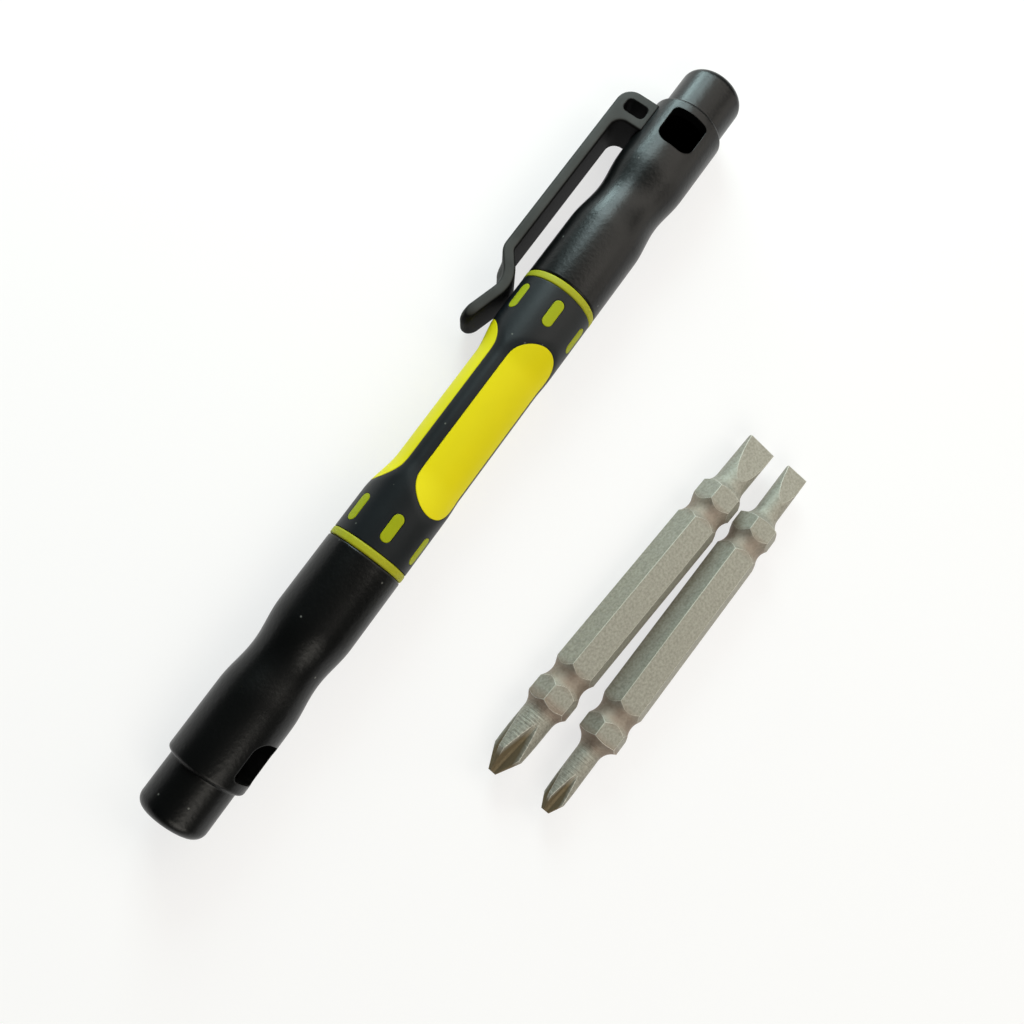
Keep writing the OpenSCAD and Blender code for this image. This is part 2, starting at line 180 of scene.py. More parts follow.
def rounded_block(size, middle, along, radius):
    """A block whose four edges along one axis (0, 1 or 2) are rounded."""
    obj = block(size, middle)
    bpy.ops.object.mode_set(mode="EDIT")
    bpy.ops.mesh.select_mode(type="EDGE")
    bpy.ops.mesh.select_all(action="DESELECT")
    bpy.ops.object.mode_set(mode="OBJECT")
    for edge in obj.data.edges:
        one, two = (obj.data.vertices[i].co for i in edge.vertices)
        edge.select = abs(one[along] - two[along]) > size[along] / 2
    bpy.ops.object.mode_set(mode="EDIT")
    bpy.ops.mesh.bevel(offset=radius, segments=8, affect="EDGES")
    bpy.ops.object.mode_set(mode="OBJECT")
    return obj


def stadium(length, width, x, low, high):
    """An upright prism with round ends, standing out from the pen's axis."""
    start()
    height = high - low
    middle = (x, 0, low + height / 2)
    bpy.ops.mesh.primitive_cylinder_add(vertices=STADIUM_SIDES, radius=width / 2, depth=height,
                                        location=middle, rotation=(0, 0, math.pi / STADIUM_SIDES))
    obj = bpy.context.object
    bpy.ops.object.transform_apply(location=True, rotation=True, scale=True)
    pull = (length - width) / 2
    select_vertices(obj, lambda co: co.x > x)
    bpy.ops.transform.translate(value=(pull, 0, 0))
    select_vertices(obj, lambda co: co.x < x)
    bpy.ops.transform.translate(value=(-pull, 0, 0))
    bpy.ops.object.mode_set(mode="OBJECT")
    return obj


def joined(objects):
    start()
    for obj in objects:
        obj.select_set(True)
    bpy.context.view_layer.objects.active = objects[0]
    if len(objects) > 1:
        bpy.ops.object.join()
    return bpy.context.object


def around(obj, turns, shifts=(0,)):
    """Copies one piece to each turn about the pen and each shift along it, as one object."""
    copies = [copy_of(obj, shift, degrees) for shift in shifts for degrees in turns]
    bpy.data.objects.remove(obj, do_unlink=True)
    return joined(copies)


def cut(obj, tool, operation="DIFFERENCE"):
    """Takes the tool away from a piece, or keeps what the two have in common."""
    only(obj)
    modifier = obj.modifiers.new("cut", "BOOLEAN")
    modifier.operation = operation
    modifier.solver = "EXACT"
    modifier.object = tool
    bpy.ops.object.modifier_apply(modifier=modifier.name)
    bpy.data.objects.remove(tool, do_unlink=True)


def lay(obj, name, body, node):
    """Lays a finished moulding down as the piece that stands for a node."""
    obj.name = name
    obj.data.name = name
    obj.matrix_world = LAY_PEN
    only(obj)
    bpy.ops.object.transform_apply(location=True, rotation=True, scale=True)
    bpy.ops.object.shade_smooth_by_angle(angle=SMOOTH_BELOW)
    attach(obj, body)
    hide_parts(node)
    print(name, "faces", len(obj.data.polygons))


print("edges above", round(math.degrees(SMOOTH_BELOW)), "degrees stay sharp")

# %% [markdown]
# ## Building finishes from nodes
# Every finish is a small node tree. Colours are written as sRGB hex, the way a paint card gives them, and
# turned to linear light. Patterns read Object coordinates, which are metres here, so a pattern's scale is
# worked out from a grain size in millimetres. A pixel of the picture covers about 0.15 mm, so grain that
# is finer than about 0.3 mm on the real surface is drawn at 0.3 mm or more, to show at all.


# %% Finish helpers
def linear(hex_colour):
    channels = [int(hex_colour[i:i + 2], 16) / 255 for i in (1, 3, 5)]
    return [c / 12.92 if c <= 0.04045 else ((c + 0.055) / 1.055) ** 2.4 for c in channels] + [1]


def grain(size_mm):
    return 1 / (size_mm * MM)


def add(tree, kind, inputs=None, **settings):
    """Adds a node, sets it up, and gives its sockets a value or a link."""
    node = tree.nodes.new(kind)
    for key, value in settings.items():
        setattr(node, key, value)
    for key, value in (inputs or {}).items():
        if isinstance(value, bpy.types.NodeSocket):
            tree.links.new(value, node.inputs[key])
        else:
            node.inputs[key].default_value = value
    return node


def new_finish(name):
    finish = bpy.data.materials.new(name)
    finish.use_nodes = True
    finish.node_tree.nodes.clear()
    return finish, finish.node_tree


def dress(obj, *finishes):
    obj.data.materials.clear()
    for finish in finishes:
        obj.data.materials.append(finish)
    print(obj.name, "wears", ", ".join(finish.name for finish in finishes))


print("black #101010 is", round(linear("#101010")[0], 4), "in linear light")

# %% [markdown]
# ## Black ABS for the caps
# The caps are moulded in black ABS from a polished but worn tool, so they have a soft satin shine with a
# fine orange peel, which breaks the highlight into a mottled band. A few motes of dust cling to it. The
# edges of a moulding are never truly sharp, so a bevel of the shading normal rounds the window rims.


# %% Caps finish
def black_abs(name):
    finish, tree = new_finish(name)
    place = add(tree, "ShaderNodeTexCoord").outputs["Object"]
    cloud = add(tree, "ShaderNodeTexNoise", {"Vector": place, "Scale": grain(7), "Detail": 3})
    peel = add(tree, "ShaderNodeTexNoise", {"Vector": place, "Scale": grain(0.55), "Detail": 3})
    mote = add(tree, "ShaderNodeTexVoronoi", {"Vector": place, "Scale": grain(3.6)})
    dusty = add(tree, "ShaderNodeMapRange", {"Value": mote.outputs["Distance"], "From Min": 0.05,
                                             "From Max": 0.03, "To Max": 0.7})
    sheen = add(tree, "ShaderNodeMapRange", {"Value": cloud.outputs["Fac"], "From Min": 0.3,
                                             "From Max": 0.7, "To Min": 0.3, "To Max": 0.37})
    tint = add(tree, "ShaderNodeMix", {"Factor": dusty.outputs["Result"], "A": linear("#070808"),
                                       "B": linear("#6d6e6a")}, data_type="RGBA")
    soft_edge = add(tree, "ShaderNodeBevel", {"Radius": 0.2 * MM}, samples=6)
    bump = add(tree, "ShaderNodeBump", {"Height": peel.outputs["Fac"], "Strength": 0.6,
                                        "Distance": 0.05 * MM, "Normal": soft_edge.outputs["Normal"]})
    shader = add(tree, "ShaderNodeBsdfPrincipled", {
        "Base Color": tint.outputs["Result"], "Roughness": sheen.outputs["Result"], "IOR": 1.54,
        "Specular IOR Level": 0.24, "Normal": bump.outputs["Normal"]})
    add(tree, "ShaderNodeOutputMaterial", {"Surface": shader.outputs["BSDF"]})
    return finish


cap_finish = black_abs("satin_moulded_black_abs")
print(cap_finish.name, "nodes", len(cap_finish.node_tree.nodes))

# %% [markdown]
# ## The two caps
# A cap is a turned tube, closed at one end. From its mouth it runs straight, dips to a waist for the
# fingers, swells to a shoulder and steps down to a stub. The outline is drawn once and spun, and three
# slots in the mouth take the keys of the grip. The other cap is a copy, turned end for end. Each cap then
# gets its own square window, which lets the stored bit be seen. A window's corners are wide towards the
# grip and tight towards the end, so it is cut twice: once whole, and once over its end half.

# %% Cap sizes in millimetres
RIM_ROUND = 0.35
SHOULDER_R = 5.95
SHOULDER_ROUND = 0.58
WAIST_R = 5.35
WAIST_FROM_END = 25
WAIST_HALF = 6.6
WAIST_STEPS = 48
NUB_R = 5.1
NUB_LEN = 7.8
NUB_ROUND = 1.6
NUB_FILLET = 0.27
BORE_R = 4
MOUTH_R = 4.85
MOUTH_LEN = 9.4
END_WALL = 1
WINDOW_LEN = 6.1
WINDOW_W = 6
WINDOW_GRIP_ROUND = 2
WINDOW_END_ROUND = 0.8
WINDOW_FROM_END = 9.5
REAR_WINDOW_TURN = 97
FRONT_WINDOW_TURN = 167
KEY_TURNS = (0, 120, 240)
KEY_SLOT = (5.08, 1.76, 1.3)
KEY_SLOT_R = 4.59
HAIR = 0.01
print("wall at the bore", round(SHOULDER_R - BORE_R, 2), "mm")


# %% Model the caps
def cap_outline():
    """Points of (place from the rim, radius), once round the wall's section."""
    waist_mid = cap_len - WAIST_FROM_END
    shoulder = cap_len - NUB_LEN
    waist = []
    for i in range(WAIST_STEPS + 1):
        t = i / WAIST_STEPS
        dip = (rim_r + (SHOULDER_R - rim_r) / 2 - WAIST_R) * (1 - math.cos(math.tau * t)) / 2
        waist.append((waist_mid + WAIST_HALF * (2 * t - 1), rim_r + (SHOULDER_R - rim_r) * t - dip))
    outside = arc(RIM_ROUND, rim_r - RIM_ROUND, RIM_ROUND, 180, 90) + waist
    outside += arc(shoulder - SHOULDER_ROUND, SHOULDER_R - SHOULDER_ROUND, SHOULDER_ROUND, 90, 0)
    outside += arc(shoulder + NUB_FILLET, NUB_R + NUB_FILLET, NUB_FILLET, 180, 270)
    outside += arc(cap_len - NUB_ROUND, NUB_R - NUB_ROUND, NUB_ROUND, 90, 0, 12)
    inside = [(cap_len, 0), (cap_len - END_WALL, 0), (cap_len - END_WALL, BORE_R), (MOUTH_LEN, BORE_R),
              (MOUTH_LEN, MOUTH_R), (0, MOUTH_R)]
    return outside + inside + outside[:1]


def cut_window(obj, side, degrees):
    """A window with wide corners towards the grip and tight ones towards the end, in two cuts."""
    window_x = side * (pen_half - WINDOW_FROM_END - WINDOW_LEN / 2)
    whole = (WINDOW_LEN, window_x, WINDOW_GRIP_ROUND)
    end_half = (WINDOW_LEN / 2, window_x + side * WINDOW_LEN / 4, WINDOW_END_ROUND)
    for length, x, corner in (whole, end_half):
        prism = rounded_block((length, WINDOW_W, 2 * rim_r), (x, 0, rim_r), 2, corner)
        cut(obj, around(prism, (degrees,)))


rear_cap = turned([(grip_half + x, r) for x, r in cap_outline()])
slot = block(KEY_SLOT, (grip_half + KEY_SLOT[0] / 2 - HAIR, 0, KEY_SLOT_R))
cut(rear_cap, around(slot, KEY_TURNS))
front_cap = copy_of(rear_cap)
front_cap.rotation_euler.z = math.pi
only(front_cap)
bpy.ops.object.transform_apply(location=True, rotation=True, scale=True)
cut_window(rear_cap, 1, REAR_WINDOW_TURN)
cut_window(front_cap, -1, FRONT_WINDOW_TURN)
lay(rear_cap, "rear_cap_moulding", "rear_cap", "rear_cap")
lay(front_cap, "front_cap_moulding", "front_cap", "front_cap")
dress(rear_cap, cap_finish)
dress(front_cap, cap_finish)

# %% [markdown]
# ## Yellow polypropylene for the core
# The core is moulded first, in yellow polypropylene: a slightly waxy plastic that lets a little light in
# below its surface. The thin rings and pips are the same plastic, painted a greener, darker yellow than the
# broad pads: painted shade for the shade on these small parts. One tree makes all three, from two shades
# that drift into each other.


# %% Core finishes
def yellow_pp(name, shade, other_shade):
    finish, tree = new_finish(name)
    place = add(tree, "ShaderNodeTexCoord").outputs["Object"]
    flow = add(tree, "ShaderNodeTexNoise", {"Vector": place, "Scale": grain(7), "Detail": 2})
    peel = add(tree, "ShaderNodeTexNoise", {"Vector": place, "Scale": grain(0.4), "Detail": 2})
    tint = add(tree, "ShaderNodeMix", {"Factor": flow.outputs["Fac"], "A": linear(shade),
                                       "B": linear(other_shade)}, data_type="RGBA")
    sheen = add(tree, "ShaderNodeMapRange", {"Value": peel.outputs["Fac"], "To Min": 0.44, "To Max": 0.56})
    soft_edge = add(tree, "ShaderNodeBevel", {"Radius": 0.18 * MM}, samples=6)
    bump = add(tree, "ShaderNodeBump", {"Height": peel.outputs["Fac"], "Strength": 0.2,
                                        "Distance": 0.02 * MM, "Normal": soft_edge.outputs["Normal"]})
    shader = add(tree, "ShaderNodeBsdfPrincipled", {
        "Base Color": tint.outputs["Result"], "Roughness": sheen.outputs["Result"], "IOR": 1.49,
        "Specular IOR Level": 0.18, "Subsurface Weight": 0.1, "Subsurface Radius": (1, 0.9, 0.1),
        "Subsurface Scale": 0.4 * MM, "Normal": bump.outputs["Normal"]})
    add(tree, "ShaderNodeOutputMaterial", {"Surface": shader.outputs["BSDF"]})
    return finish


pad_finish = yellow_pp("moulded_yellow_polypropylene", "#e6d805", "#dcd206")
# pips and rings: the pads' yellow painted darker and greener, as painted shade on these small parts
pip_finish_painted_shade = yellow_pp("yellow_polypropylene_painted_shade_pips", "#a0a80c", "#969e0a")
ring_finish_painted_shade = yellow_pp("yellow_polypropylene_painted_shade_rings", "#a8a824", "#9ea01e")
print("pads, pips and rings in", pad_finish.name, pip_finish_painted_shade.name, ring_finish_painted_shade.name)

# %% [markdown]
# ## The grip's surface
# The grip is a cylinder with three long finger scoops. A scoop's floor is a flatter arc than the pen's,
# and it ramps up smoothly at both ends. That is a shape for a formula: the surface is turned as a plain
# tube with many rings, and each outer vertex is then moved to the radius that the scoops leave.

# %% Grip sizes in millimetres
GRIP_R = 6
CORE_R = 4.9
RING_W = 1.25
RING_R = 6.04
RING_ROUND = 0.3
SKIN_GAP = 0.06
PAD_TURNS = (136, 256, 376)
PAD_LEN = 29.4
PAD_W = 8.2
PAD_PROUD = 0.02
PAD_ROOT = 0.3
PAD_SPARE = 0.5
SCOOP_DEPTH = 0.93
SCOOP_R = 7.9
SCOOP_FLOOR = 18.6
SCOOP_RAMP = 7
RIB_SOFT = 0.5
PIP_TURNS = (166, 226, 286, 346, 406, 466)
PIP_LEN = 4.4
PIP_W = 1.65
PIP_INSET = 4.95
PIP_ROOT = 1
SPIGOT_R = 4.8
SPIGOT_LEN = 9
KEY = (5, 1.6, 0.7)
SEAT_ACROSS_FLATS = 7.49
SEAT_TURN = 30 - math.degrees(clip_turn)
TUBE_RINGS = 150
TUBE_STEPS = 192


def grip_radius(x, turn):
    """Radius of the grip's surface, with its scoops, at a place along the pen and a turn from the clip."""
    ramp = min(max((SCOOP_FLOOR / 2 + SCOOP_RAMP - abs(x)) / SCOOP_RAMP, 0), 1)
    ramp = ramp * ramp * (3 - 2 * ramp)
    radius = GRIP_R
    soft = RIB_SOFT * ramp
    for pad_turn in PAD_TURNS:
        away = (turn - math.radians(pad_turn) + math.pi) % math.tau - math.pi
        if abs(away) < math.pi / 2 and ramp > 0:
            off = SCOOP_R - (GRIP_R - SCOOP_DEPTH * ramp)
            pad = math.sqrt(SCOOP_R ** 2 - (off * math.sin(away)) ** 2) - off * math.cos(away)
            blend = max(soft - abs(radius - pad), 0) / soft
            radius = min(radius, pad) - blend * blend * soft / 4
    return radius


print("grip radius on a rib and in a scoop", GRIP_R, round(grip_radius(0, math.radians(PAD_TURNS[0])), 2))


# %% Grip tube and the prisms of its pads and pips
def grip_tube(inner_r, half, proud):
    """The grip's tube with its scoops, from end to end, standing proud of the surface or level with it."""
    wall = [(half * (2 * i / TUBE_RINGS - 1), GRIP_R) for i in range(TUBE_RINGS + 1)]
    obj = turned(wall + [(half, inner_r), (-half, inner_r), wall[0]], TUBE_STEPS)
    for vertex in obj.data.vertices:
        x, y, z = vertex.co
        radius = math.hypot(y, z)
        if radius > GRIP_R - HAIR:
            scale = (grip_radius(x, math.atan2(-y, z)) + proud) / radius
            vertex.co = (x, y * scale, z * scale)
    return obj


def pad_prisms(grow):
    """One tool of all the pads and pips, each made larger all round by a gap."""
    base = (PAD_W / 2 + 2 * SKIN_GAP) / math.tan(math.pi / len(PAD_TURNS))
    pip_x = grip_half - PIP_INSET
    pad = stadium(PAD_LEN + 2 * grow, PAD_W + 2 * grow, 0, base, 2 * GRIP_R)
    pip = stadium(PIP_LEN + 2 * grow, PIP_W + 2 * grow, pip_x, CORE_R - PIP_ROOT, 2 * GRIP_R)
    return joined([around(pad, PAD_TURNS), around(pip, PIP_TURNS, (0, -2 * pip_x))])


pads = grip_tube(CORE_R - PAD_ROOT, grip_half - RING_W, PAD_PROUD)
cut(pads, pad_prisms(0), "INTERSECT")
print("pads and pips have", len(pads.data.polygons), "faces")

# %% [markdown]
# ## The core: pads, pips, rings and spigots
# Pads and pips are what the grip's surface and their upright prisms have in common. The turned body has a
# ring at each end and the spigots that carry the caps. A hexagonal hole right through it seats the steel
# sleeves, and the keys are small blocks on the spigots. Each face then takes the finish of its zone.


# %% Model the core
def core_body():
    """The turned body with its two rings and spigots, and the seat through it."""
    spigot_end = grip_half + SPIGOT_LEN
    half = [(0, CORE_R), (grip_half - RING_W, CORE_R)]
    half += arc(grip_half - RING_W + RING_ROUND, RING_R - RING_ROUND, RING_ROUND, 180, 90)
    half += arc(grip_half - RING_ROUND, RING_R - RING_ROUND, RING_ROUND, 90, 0)
    half += [(grip_half, SPIGOT_R), (spigot_end - RING_ROUND, SPIGOT_R),
             (spigot_end, SPIGOT_R - RING_ROUND), (spigot_end, 0)]
    other = [(-x, r) for x, r in reversed(half[1:])]
    obj = turned(other + half)
    start()
    bpy.ops.mesh.primitive_cylinder_add(vertices=6, radius=SEAT_ACROSS_FLATS / math.sqrt(3),
                                        depth=3 * spigot_end, rotation=(0, math.pi / 2, 0))
    seat = bpy.context.object
    bpy.ops.object.transform_apply(location=True, rotation=True, scale=True)
    cut(obj, around(seat, (SEAT_TURN,)))
    return obj


key_x = grip_half + KEY[0] / 2
keys = around(block(KEY, (key_x, 0, SPIGOT_R)), KEY_TURNS, (0, -2 * key_x))
core = joined([core_body(), pads, keys])
lay(core, "grip_core_moulding", "handle", "grip_core")
dress(core, pad_finish, pip_finish_painted_shade, ring_finish_painted_shade)
pad_reach = PAD_LEN / 2 + PAD_SPARE
ring_reach = grip_half - RING_W - HAIR
# zones 1 and 2, the pips and rings, take the yellow with painted shade
for face in core.data.polygons:
    place = abs(face.center.x) / MM
    face.material_index = 0 if place < pad_reach else 1 if place < ring_reach else 2

# %% [markdown]
# ## The soft black skin
# The second shot fills the mould round the core with thermoplastic rubber. It is softer and duller than
# the caps, a bluish black with a faint bloom. The skin is the same surface with the pads and pips cut out,
# and the narrow gap that is left round each of them draws the dark outline seen on the real grip.


# %% Skin finish
def black_rubber(name):
    finish, tree = new_finish(name)
    place = add(tree, "ShaderNodeTexCoord").outputs["Object"]
    bloom = add(tree, "ShaderNodeTexNoise", {"Vector": place, "Scale": grain(5), "Detail": 4})
    matt = add(tree, "ShaderNodeTexNoise", {"Vector": place, "Scale": grain(0.35), "Detail": 3})
    mote = add(tree, "ShaderNodeTexVoronoi", {"Vector": place, "Scale": grain(2.8)})
    dusty = add(tree, "ShaderNodeMapRange", {"Value": mote.outputs["Distance"], "From Min": 0.06,
                                             "From Max": 0.03, "To Max": 0.6})
    tint = add(tree, "ShaderNodeMix", {"Factor": bloom.outputs["Fac"], "A": linear("#0a0e11"),
                                       "B": linear("#11171b")}, data_type="RGBA")
    dusted = add(tree, "ShaderNodeMix", {"Factor": dusty.outputs["Result"], "A": tint.outputs["Result"],
                                         "B": linear("#74776f")}, data_type="RGBA")
    sheen = add(tree, "ShaderNodeMapRange", {"Value": bloom.outputs["Fac"], "To Min": 0.4, "To Max": 0.5})
    soft_edge = add(tree, "ShaderNodeBevel", {"Radius": 0.22 * MM}, samples=6)
    bump = add(tree, "ShaderNodeBump", {"Height": matt.outputs["Fac"], "Strength": 0.4,
                                        "Distance": 0.03 * MM, "Normal": soft_edge.outputs["Normal"]})
    shader = add(tree, "ShaderNodeBsdfPrincipled", {
        "Base Color": dusted.outputs["Result"], "Roughness": sheen.outputs["Result"], "IOR": 1.5,
        "Specular IOR Level": 0.29, "Normal": bump.outputs["Normal"]})
    add(tree, "ShaderNodeOutputMaterial", {"Surface": shader.outputs["BSDF"]})
    return finish


skin_finish = black_rubber("moulded_black_thermoplastic_rubber")
print(skin_finish.name, "nodes", len(skin_finish.node_tree.nodes))

# %% Model the skin
skin = grip_tube(CORE_R + SKIN_GAP, grip_half - RING_W - SKIN_GAP, 0)
cut(skin, pad_prisms(SKIN_GAP))
lay(skin, "grip_skin_moulding", "handle", "grip_skin")
dress(skin, skin_finish)

# %% [markdown]
# ## The pocket clip
# The clip is a separate moulding. Its side view is one outline: a bridge that stands on the cap, a level
# arm, a slope that reaches the grip and a lifted tip. The outline is filled and extruded across the clip
# in slices, and each slice is then set to its own outline. Near the two sides the outlines are smaller,
# which rounds the edges, and they end sooner at the tip, which rounds it as seen from outside. Near the
# middle the outside of the slope swells, which stiffens the knee.

# %% Clip sizes in millimetres
CLIP_T = 1.8
BRIDGE_FROM_END = 9.6
BRIDGE_LEN = 5.3
BRIDGE_ROUND = 2.6
ARM_FILLET = 1.8
ARM_END = 42.2
BEND_R = 2
SLOPE_TURN = 38
KNEE_R = 4.6
KNEE_SWELL = 0.9
SWELL_W = 5.6
SLOPE_STEPS = 8
TIP_TURN = 16
TIP_LEN = 8.2
TIP_ROUND = 2.4
CLIP_GAP = 0.25
CLIP_EDGE = 0.38
CORD_HOLE_LEN = 2.4
CORD_HOLE_H = 3.7
CORD_HOLE_ROUND = 0.8
CORD_HOLE_TOP = 1.55
EDGE_STEPS = 6
FOOT_GAP = 0.03


def polar(length, degrees):
    """A step of a length along a heading."""
    return Vector((length * math.cos(math.radians(degrees)), length * math.sin(math.radians(degrees))))


arm_bend = Vector((pen_half - ARM_END, CLIP_REACH - CLIP_T / 2))
middle_turn = math.radians((SLOPE_TURN - TIP_TURN) / 2)
half_bend = math.radians((SLOPE_TURN + TIP_TURN) / 2)
knee_lift = KNEE_R * (math.cos(middle_turn) / math.cos(half_bend) - 1)
knee_drop = arm_bend.y - (GRIP_R + CLIP_GAP + CLIP_T / 2 - knee_lift)
knee = arm_bend - Vector((knee_drop / math.tan(math.radians(SLOPE_TURN)), knee_drop))
print("clip's knee is", round(pen_half - knee.x, 1), "mm from the cap's end")


# %% Clip outlines
def bend(corner, radius, first, last, right):
    """Round bend at a corner of the clip's middle line, by the headings before and after it."""
    side = 1 if last > first else -1
    reach = radius / math.cos(math.radians(last - first) / 2)
    middle = corner + polar(reach, (first + last) / 2 + side * 90)
    return arc(middle.x, middle.y, radius + side * right, first - side * 90, last - side * 90)


def clip_outline(inset, short, swell):
    """Side view of one slice: smaller by an inset, shorter at its tip, and swollen outside its slope."""
    rear = pen_half - BRIDGE_FROM_END
    front = rear - BRIDGE_LEN
    half = CLIP_T / 2 - inset
    slope = 180 + SLOPE_TURN
    lift = 180 - TIP_TURN
    tip = knee + polar(TIP_LEN - short, lift)
    points = [(rear - inset, BORE_R)]
    points += arc(rear - BRIDGE_ROUND, CLIP_REACH - BRIDGE_ROUND, BRIDGE_ROUND - inset, 0, 90)
    points += bend(arm_bend, BEND_R, 180, slope, half)
    hollow = [Vector(point) for point in bend(knee, KNEE_R, slope, lift, half)]
    slope_start = Vector(points[-1])
    run = [slope_start.lerp(hollow[0], i / SLOPE_STEPS) for i in range(1, SLOPE_STEPS)] + hollow
    for i, point in enumerate(run):
        push = swell * math.sin(math.pi * i / (len(run) - 1))
        points.append(tuple(point + polar(push, slope - 90)))
    points += arc(tip.x, tip.y, half, lift - 90, lift + 90)
    points += bend(knee, KNEE_R, slope, lift, -half)[::-1]
    points += bend(arm_bend, BEND_R, 180, slope, -half)[::-1]
    points += arc(front - ARM_FILLET, CLIP_REACH - CLIP_T - ARM_FILLET, ARM_FILLET + inset, 90, 0)
    return points + [(front + inset, BORE_R)]


def clip_slices():
    """Places across the clip, each with its outline's inset, lack of length at the tip and swell."""
    straight = CLIP_W / 2 - TIP_ROUND
    bevel_from = CLIP_W / 2 - CLIP_EDGE
    quarter = [math.pi / 2 * i / EDGE_STEPS for i in range(EDGE_STEPS + 1)]
    side = [(straight + (bevel_from - straight) * math.sin(turn), 0) for turn in quarter[:-1]]
    for turn in quarter:
        side.append((bevel_from + CLIP_EDGE * math.sin(turn), CLIP_EDGE * (1 - math.cos(turn))))
    side = [(0, 0), (straight / 2, 0)] + side
    slices = []
    for y, inset in side:
        short = TIP_ROUND - math.sqrt(max(TIP_ROUND ** 2 - max(y - straight, 0) ** 2, 0))
        swell = KNEE_SWELL * math.cos(math.pi / 2 * min(2 * y / SWELL_W, 1)) ** 2
        slices.append((y, inset, short, swell))
    return [(-y, inset, short, swell) for y, inset, short, swell in reversed(slices[1:])] + slices


print("clip drawn in", len(clip_slices()), "slices")


# %% Model the clip
def clip_body():
    """The clip's bar: one outline extruded slice by slice, and each slice set to its own outline."""
    slices = clip_slices()
    outlines = [clip_outline(*shape) for y, *shape in slices]
    first = outlines[0]
    obj = draw_line([(x, slices[0][0], z) for x, z in first + first[:1]])
    bpy.ops.mesh.edge_face_add()
    for here, there in zip(slices, slices[1:]):
        bpy.ops.mesh.extrude_region_move(TRANSFORM_OT_translate={"value": (0, there[0] - here[0], 0)})
    bpy.ops.object.mode_set(mode="OBJECT")
    for vertex in obj.data.vertices:
        x, y, z = vertex.co
        which = min(range(len(slices)), key=lambda i: abs(slices[i][0] - y))
        point = min(range(len(first)), key=lambda i: (first[i][0] - x) ** 2 + (first[i][1] - z) ** 2)
        vertex.co.x, vertex.co.z = outlines[which][point]
    only(obj)
    bpy.ops.object.mode_set(mode="EDIT")
    bpy.ops.mesh.select_all(action="SELECT")
    bpy.ops.mesh.normals_make_consistent(inside=False)
    bpy.ops.object.mode_set(mode="OBJECT")
    return obj


clip = clip_body()
start()
bpy.ops.mesh.primitive_cylinder_add(vertices=128, radius=SHOULDER_R + FOOT_GAP, depth=2 * pen_half,
                                    rotation=(0, math.pi / 2, 0))
cut(clip, bpy.context.object)
hole_x = pen_half - BRIDGE_FROM_END - BRIDGE_LEN / 2
hole_middle = (hole_x, 0, CLIP_REACH - CORD_HOLE_TOP - CORD_HOLE_H / 2)
cut(clip, rounded_block((CORD_HOLE_LEN, 2 * CLIP_W, CORD_HOLE_H), hole_middle, 1, CORD_HOLE_ROUND))
lay(clip, "pocket_clip_moulding", "rear_cap", "pocket_clip")

# %% [markdown]
# ## Nylon for the clip, with painted light and shade
# The clip has to spring, so it is moulded in nylon, which is tougher and duller than the caps. Its outside
# and its two sides are painted paler and made smoother than the inside, which is painted near black: painted
# light on the faces that the lamps reach, and painted shade on the inner face. Comparing the normal with the
# clip's own directions finds them, and a bevel of the normal makes one run softly into the next.


# %% Clip finish
def nylon_painted_light_and_shade(name):
    finish, tree = new_finish(name)
    place = add(tree, "ShaderNodeTexCoord").outputs["Object"]
    matt = add(tree, "ShaderNodeTexNoise", {"Vector": place, "Scale": grain(0.4), "Detail": 3})
    cloud = add(tree, "ShaderNodeTexNoise", {"Vector": place, "Scale": grain(4), "Detail": 4})
    soft_edge = add(tree, "ShaderNodeBevel", {"Radius": 0.3 * MM}, samples=6)
    normal = soft_edge.outputs["Normal"]

    # Outside and sides, by the clip's own directions: these get the painted light, the inner face keeps the
    # painted shade
    outward = LAY_PEN.col[2].xyz.normalized()
    sideways = LAY_PEN.col[1].xyz.normalized()
    away = add(tree, "ShaderNodeVectorMath", {0: normal, 1: outward}, operation="DOT_PRODUCT")
    beside = add(tree, "ShaderNodeVectorMath", {0: normal, 1: sideways}, operation="DOT_PRODUCT")
    beside = add(tree, "ShaderNodeMath", {0: beside.outputs["Value"]}, operation="ABSOLUTE")
    outside = add(tree, "ShaderNodeMapRange", {"Value": away.outputs["Value"], "From Min": 0.3,
                                               "From Max": 0.8})
    sides = add(tree, "ShaderNodeMapRange", {"Value": beside.outputs[0], "From Min": 0.75,
                                             "From Max": 0.97})
    worn_and_painted_light = add(tree, "ShaderNodeMath", {0: outside.outputs["Result"], 1: sides.outputs["Result"]},
               operation="MAXIMUM")
    cloudy = add(tree, "ShaderNodeMapRange", {"Value": cloud.outputs["Fac"], "From Min": 0.3,
                                              "From Max": 0.7, "To Min": 0.75})
    worn_and_painted_light = add(tree, "ShaderNodeMath", {0: worn_and_painted_light.outputs[0], 1: cloudy.outputs["Result"]},
               operation="MULTIPLY")
    # painted light and shade: outside and sides painted paler, the inner face dark as painted shade
    painted_light_tint = add(tree, "ShaderNodeMix", {"Factor": worn_and_painted_light.outputs[0], "A": linear("#080808"),
                                         "B": linear("#434341")}, data_type="RGBA")
    sheen = add(tree, "ShaderNodeMapRange", {"Value": worn_and_painted_light.outputs[0], "To Min": 0.62, "To Max": 0.5})
    bump = add(tree, "ShaderNodeBump", {"Height": matt.outputs["Fac"], "Strength": 0.35,
                                        "Distance": 0.03 * MM, "Normal": normal})
    shader = add(tree, "ShaderNodeBsdfPrincipled", {
        "Base Color": painted_light_tint.outputs["Result"], "Roughness": sheen.outputs["Result"], "IOR": 1.53,
        "Specular IOR Level": 0.1, "Normal": bump.outputs["Normal"]})
    add(tree, "ShaderNodeOutputMaterial", {"Surface": shader.outputs["BSDF"]})
    return finish


dress(clip, nylon_painted_light_and_shade("moulded_nylon_painted_light_and_shade"))
